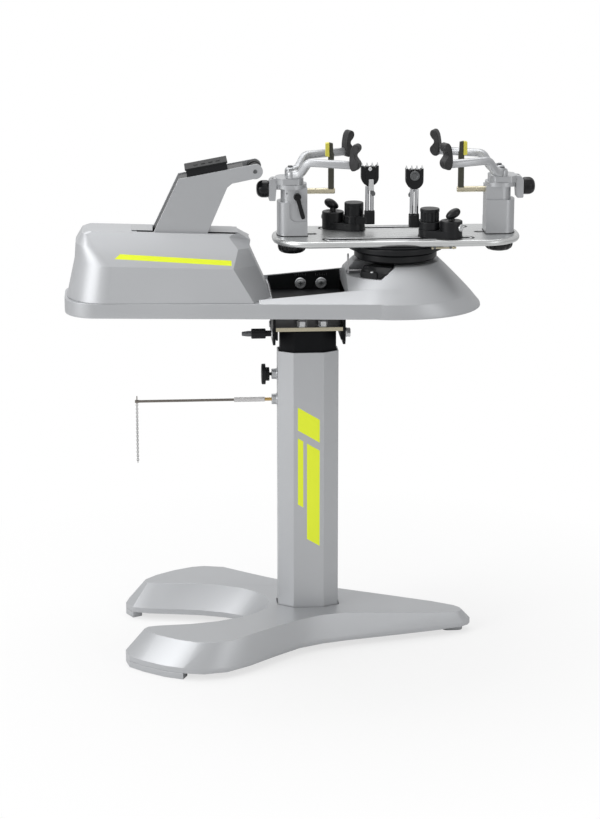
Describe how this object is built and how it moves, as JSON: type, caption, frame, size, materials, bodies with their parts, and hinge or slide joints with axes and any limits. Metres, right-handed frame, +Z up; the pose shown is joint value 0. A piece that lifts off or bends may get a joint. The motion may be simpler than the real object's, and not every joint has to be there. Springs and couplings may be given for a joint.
{
  "type": "racket stringing machine",
  "caption": "Floor-standing racket stringing machine with a lobed base, telescopic column, tension head and a turntable with frame towers and string clamps.",
  "frame": {"origin": "on the floor under the middle of the whole machine's length and depth", "axes": "+Z up, +X from the tension head towards the turntable, the operator stands at -Y"},
  "size_m": [1.0174, 0.55, 1.1255],
  "materials": {
    "silver_cover": "moulded plastic with silver metallic paint",
    "silver_paint": "silver metallic paint",
    "black_paint": "fine black powder coat",
    "black_plastic": "fine grained black plastic",
    "steel": "machined steel",
    "chain_metal": "darkened steel",
    "zinc_plate": "yellow zinc plate",
    "chrome": "polished",
    "aluminium": "satin anodised",
    "board": "printed circuit board"
  },
  "bodies": {
    "stand": {"base_cover": "silver_cover", "base_frame": "black_paint", "foot_front_left": "silver_cover", "foot_rear_left": "silver_cover", "foot_right": "silver_cover", "outer_column": "silver_paint", "column_bush": "black_plastic", "reel_rod": "steel", "reel_rod_sleeve": "steel"},
    "height_knob": {"height_lock_knob": "black_plastic"},
    "chain": {"reel_chain": "chain_metal"},
    "column": {"inner_column": "black_paint", "head_plate": "zinc_plate", "tilt_pivot_pin": "steel", "tilt_clamp_bolt": "steel"},
    "tilt_handle": {"tilt_clamp_handle": "black_plastic"},
    "machine_body": {"tilt_bracket": "black_paint", "body_shell": "silver_cover", "tension_housing": "silver_cover", "power_inlet": "black_plastic", "tray_liner": "black_plastic", "tray_disc_left": "chrome", "tray_disc_right": "chrome", "turntable_post": "black_paint", "drive_motor": "black_paint", "guide_rod_front": "steel", "guide_rod_rear": "steel", "control_board": "board"},
    "screw": {"lead_screw": "steel"},
    "carriage": {"tension_carriage": "aluminium", "tension_arm": "silver_paint", "control_panel": "black_plastic"},
    "gripper": {"string_gripper": "black_plastic"},
    "brake": {"brake_lever": "steel"},
    "turntable": {"turntable_disc": "black_paint", "turntable_plate": "aluminium"},
    "left_tower": {"left_tower": "silver_paint"},
    "left_lock_knob": {"left_tower_lock_knob": "black_plastic"},
    "left_hook": {"left_support_hook": "zinc_plate"},
    "left_carrier": {"left_arm_carrier": "silver_paint"},
    "left_adjuster": {"left_adjust_knob": "black_plastic"},
    "left_front_fork": {"left_arm_front": "silver_paint"},
    "left_rear_fork": {"left_arm_rear": "silver_paint"},
    "left_cam": {"left_cam_lever": "black_plastic"},
    "right_tower": {"right_tower": "silver_paint"},
    "right_lock_knob": {"right_tower_lock_knob": "black_plastic"},
    "right_hook": {"right_support_hook": "zinc_plate"},
    "right_carrier": {"right_arm_carrier": "silver_paint"},
    "right_adjuster": {"right_adjust_knob": "black_plastic"},
    "right_front_fork": {"right_arm_front": "silver_paint"},
    "right_rear_fork": {"right_arm_rear": "silver_paint"},
    "right_cam": {"right_cam_lever": "black_plastic"},
    "left_clamp_base": {"left_clamp_slider": "black_paint"},
    "left_clamp_knob": {"left_clamp_lock_lever": "black_plastic"},
    "left_clamp_arm": {"left_clamp_swivel_arm": "black_paint"},
    "left_clamp_jaws": {"left_clamp_head": "black_paint"},
    "right_clamp_base": {"right_clamp_slider": "black_paint"},
    "right_clamp_knob": {"right_clamp_lock_lever": "black_plastic"},
    "right_clamp_arm": {"right_clamp_swivel_arm": "black_paint"},
    "right_clamp_jaws": {"right_clamp_head": "black_paint"}
  },
  "joints": [
    {"name": "column_height", "type": "slide", "parent": "stand", "child": "column", "axis": [0, 0, 1], "range_m": [0, 0.2]},
    {"name": "height_lock_turn", "type": "hinge", "parent": "stand", "child": "height_knob", "pos_m": [-0.07865, 0, 0.603], "axis": [1, 0, 0], "range_deg": [-180, 360]},
    {"name": "chain_swing", "type": "hinge", "parent": "stand", "child": "chain", "pos_m": [-0.35765, 0, 0.542], "axis": [0, 1, 0], "range_deg": [-35, 35]},
    {"name": "body_tilt", "type": "hinge", "parent": "column", "child": "machine_body", "pos_m": [0.01635, 0.044, 0.705], "axis": [1, 0, 0], "range_deg": [-8, 8]},
    {"name": "tilt_clamp_turn", "type": "hinge", "parent": "column", "child": "tilt_handle", "pos_m": [-0.08365, -0.044, 0.705], "axis": [1, 0, 0], "range_deg": [-90, 90]},
    {"name": "tension_slide", "type": "slide", "parent": "machine_body", "child": "carriage", "axis": [1, 0, 0], "range_m": [-0.024, 0.03]},
    {"name": "lead_screw_spin", "type": "hinge", "parent": "machine_body", "child": "screw", "pos_m": [-0.28365, 0, 0.8], "axis": [1, 0, 0], "range_deg": [-900, 1100]},
    {"name": "gripper_turn", "type": "hinge", "parent": "carriage", "child": "gripper", "pos_m": [-0.09815, 0, 1.058], "axis": [0, 1, 0], "range_deg": [-20, 20]},
    {"name": "brake_lever_swing", "type": "hinge", "parent": "machine_body", "child": "brake", "pos_m": [0.10085, -0.039, 0.841], "axis": [1, 0, 0], "range_deg": [-6, 6]},
    {"name": "turntable_spin", "type": "hinge", "parent": "machine_body", "child": "turntable", "pos_m": [0.20735, 0, 0.89], "axis": [0, 0, 1], "continuous": true},
    {"name": "left_tower_slide", "type": "slide", "parent": "turntable", "child": "left_tower", "axis": [1, 0, 0], "range_m": [0, 0.045]},
    {"name": "left_tower_lock_turn", "type": "hinge", "parent": "left_tower", "child": "left_lock_knob", "pos_m": [-0.01765, 0, 0.885], "axis": [0, 0, 1], "range_deg": [-90, 180]},
    {"name": "left_support_slide", "type": "slide", "parent": "left_tower", "child": "left_hook", "axis": [1, 0, 0], "range_m": [-0.018, 0.012]},
    {"name": "left_carrier_slide", "type": "slide", "parent": "left_tower", "child": "left_carrier", "axis": [-1, 0, 0], "range_m": [0, 0.006]},
    {"name": "left_adjuster_turn", "type": "hinge", "parent": "left_carrier", "child": "left_adjuster", "pos_m": [-0.07765, 0, 1.014], "axis": [1, 0, 0], "range_deg": [-5, 275]},
    {"name": "left_front_arm_swing", "type": "hinge", "parent": "left_carrier", "child": "left_front_fork", "pos_m": [-0.01965, -0.022, 1.05], "axis": [0, 0, 1], "range_deg": [-8, 8]},
    {"name": "left_rear_arm_swing", "type": "hinge", "parent": "left_carrier", "child": "left_rear_fork", "pos_m": [-0.01965, 0.022, 1.05], "axis": [0, 0, 1], "range_deg": [-8, 8]},
    {"name": "left_cam_lever_turn", "type": "hinge", "parent": "left_tower", "child": "left_cam", "pos_m": [-0.00765, -0.032, 1.001], "axis": [0, 1, 0], "range_deg": [-90, 10]},
    {"name": "right_tower_slide", "type": "slide", "parent": "turntable", "child": "right_tower", "axis": [-1, 0, 0], "range_m": [0, 0.045]},
    {"name": "right_tower_lock_turn", "type": "hinge", "parent": "right_tower", "child": "right_lock_knob", "pos_m": [0.43235, 0, 0.885], "axis": [0, 0, 1], "range_deg": [-90, 180]},
    {"name": "right_support_slide", "type": "slide", "parent": "right_tower", "child": "right_hook", "axis": [-1, 0, 0], "range_m": [-0.018, 0.012]},
    {"name": "right_carrier_slide", "type": "slide", "parent": "right_tower", "child": "right_carrier", "axis": [1, 0, 0], "range_m": [0, 0.006]},
    {"name": "right_adjuster_turn", "type": "hinge", "parent": "right_carrier", "child": "right_adjuster", "pos_m": [0.49235, 0, 1.014], "axis": [-1, 0, 0], "range_deg": [-5, 275]},
    {"name": "right_front_arm_swing", "type": "hinge", "parent": "right_carrier", "child": "right_front_fork", "pos_m": [0.43435, 0.022, 1.05], "axis": [0, 0, 1], "range_deg": [-8, 8]},
    {"name": "right_rear_arm_swing", "type": "hinge", "parent": "right_carrier", "child": "right_rear_fork", "pos_m": [0.43435, -0.022, 1.05], "axis": [0, 0, 1], "range_deg": [-8, 8]},
    {"name": "right_cam_lever_turn", "type": "hinge", "parent": "right_tower", "child": "right_cam", "pos_m": [0.42235, 0.032, 1.001], "axis": [0, -1, 0], "range_deg": [-90, 10]},
    {"name": "left_clamp_slide", "type": "slide", "parent": "turntable", "child": "left_clamp_base", "axis": [1, 0, 0], "range_m": [-0.012, 0.138]},
    {"name": "left_clamp_lock_turn", "type": "hinge", "parent": "left_clamp_base", "child": "left_clamp_knob", "pos_m": [0.07635, 0.062, 0.955], "axis": [0, 0, 1], "range_deg": [-60, 60]},
    {"name": "left_clamp_swivel", "type": "hinge", "parent": "left_clamp_base", "child": "left_clamp_arm", "pos_m": [0.12035, 0.041, 0.95], "axis": [0, 0, 1], "range_deg": [-35, 20]},
    {"name": "left_clamp_lift", "type": "slide", "parent": "left_clamp_arm", "child": "left_clamp_jaws", "axis": [0, 0, 1], "range_m": [0, 0.012]},
    {"name": "right_clamp_slide", "type": "slide", "parent": "turntable", "child": "right_clamp_base", "axis": [-1, 0, 0], "range_m": [-0.03, 0.12]},
    {"name": "right_clamp_lock_turn", "type": "hinge", "parent": "right_clamp_base", "child": "right_clamp_knob", "pos_m": [0.32035, -0.062, 0.955], "axis": [0, 0, 1], "range_deg": [-60, 60]},
    {"name": "right_clamp_swivel", "type": "hinge", "parent": "right_clamp_base", "child": "right_clamp_arm", "pos_m": [0.27635, -0.041, 0.95], "axis": [0, 0, 1], "range_deg": [-35, 20]},
    {"name": "right_clamp_lift", "type": "slide", "parent": "right_clamp_arm", "child": "right_clamp_jaws", "axis": [0, 0, 1], "range_m": [0, 0.012]}
  ],
  "couplings": [
    {"joint": "lead_screw_spin", "follows": "tension_slide", "rad_per_m": 628.32},
    {"joint": "left_adjuster_turn", "follows": "left_carrier_slide", "rad_per_m": 785.4},
    {"joint": "left_rear_arm_swing", "follows": "left_front_arm_swing", "ratio": -1},
    {"joint": "right_adjuster_turn", "follows": "right_carrier_slide", "rad_per_m": 785.4},
    {"joint": "right_rear_arm_swing", "follows": "right_front_arm_swing", "ratio": -1}
  ]
}
